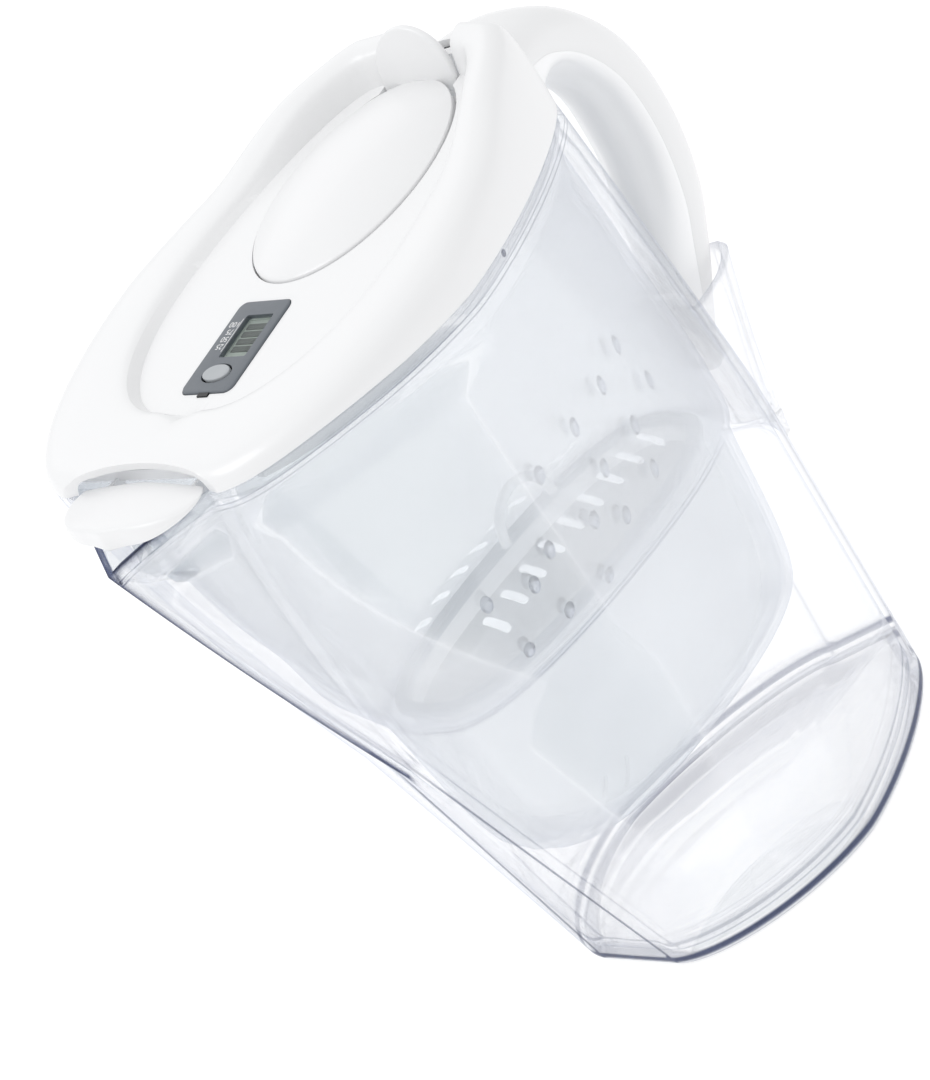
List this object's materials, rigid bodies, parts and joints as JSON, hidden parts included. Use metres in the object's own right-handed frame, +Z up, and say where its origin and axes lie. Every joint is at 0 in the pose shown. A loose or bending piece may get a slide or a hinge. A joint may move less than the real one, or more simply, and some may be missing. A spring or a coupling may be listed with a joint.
{
  "type": "water filter jug",
  "caption": "Water filter jug with a flip-up filling flap, a pouring flap, a lift-out funnel and cartridge, and a push-button change timer in its lid.",
  "frame": {"origin": "centre of the bounding box in plan, at the underside of the jug's foot", "axes": "+Z up, -X towards the spout, +X towards the handle, +Y across the jug"},
  "size_m": [0.2669, 0.1436, 0.2839],
  "materials": {
    "clear_shell": "clear, gloss",
    "white_gloss": "gloss",
    "white_inner": "gloss",
    "funnel_tint": "translucent, gloss",
    "cartridge_body": "translucent, satin",
    "sieve": "fine mesh",
    "media": "granular",
    "seal": "soft",
    "timer_grey": "satin",
    "board": "bare",
    "cell": "brushed",
    "display_grey": "matt",
    "display_bars": "matt",
    "lens": "clear",
    "contact": "bright",
    "button_grey": "satin",
    "black": "matt"
  },
  "bodies": {
    "jug": {"jug_base": "clear_shell", "jug_body": "clear_shell", "jug_socket": "clear_shell", "jug_lug": "clear_shell", "handle_outer": "white_gloss", "handle_inner": "white_inner"},
    "funnel": {"funnel": "funnel_tint"},
    "cartridge": {"cartridge_cup": "cartridge_body", "cartridge_cap": "cartridge_body", "cartridge_sieve": "sieve", "cartridge_media": "media", "cartridge_seal": "seal", "cartridge_loop": "cartridge_body"},
    "lid": {"lid_shell": "white_gloss", "lid_frame": "white_inner", "timer_housing": "timer_grey", "timer_back": "timer_grey", "timer_board": "board", "timer_battery": "cell", "timer_display": "display_grey", "timer_bars": "display_bars", "timer_lens": "lens", "timer_contact": "contact", "timer_latch": "black"},
    "fill_flap": {"fill_flap": "white_gloss"},
    "spout_flap": {"spout_flap": "white_gloss"},
    "timer_button": {"timer_button": "button_grey"}
  },
  "joints": [
    {"name": "funnel_lift", "type": "slide", "parent": "jug", "child": "funnel", "axis": [-0.1908, 0, 0.9816], "range_m": [0, 0.13]},
    {"name": "cartridge_lift", "type": "slide", "parent": "funnel", "child": "cartridge", "axis": [-0.1392, 0, 0.9903], "range_m": [0, 0.08]},
    {"name": "lid_lift", "type": "slide", "parent": "funnel", "child": "lid", "axis": [0, 0, 1], "range_m": [0, 0.12]},
    {"name": "fill_flap_hinge", "type": "hinge", "parent": "lid", "child": "fill_flap", "pos_m": [0.0555, 0, 0.2595], "axis": [0, 1, 0], "range_deg": [0, 50]},
    {"name": "spout_flap_hinge", "type": "hinge", "parent": "lid", "child": "spout_flap", "pos_m": [-0.1045, 0, 0.2383], "axis": [0, 1, 0], "range_deg": [0, 30]},
    {"name": "timer_button_press", "type": "slide", "parent": "lid", "child": "timer_button", "axis": [0.1338, 0, -0.991], "range_m": [0, 0.0008], "stiffness_N_per_m": 300, "springref_m": -0.0005}
  ]
}
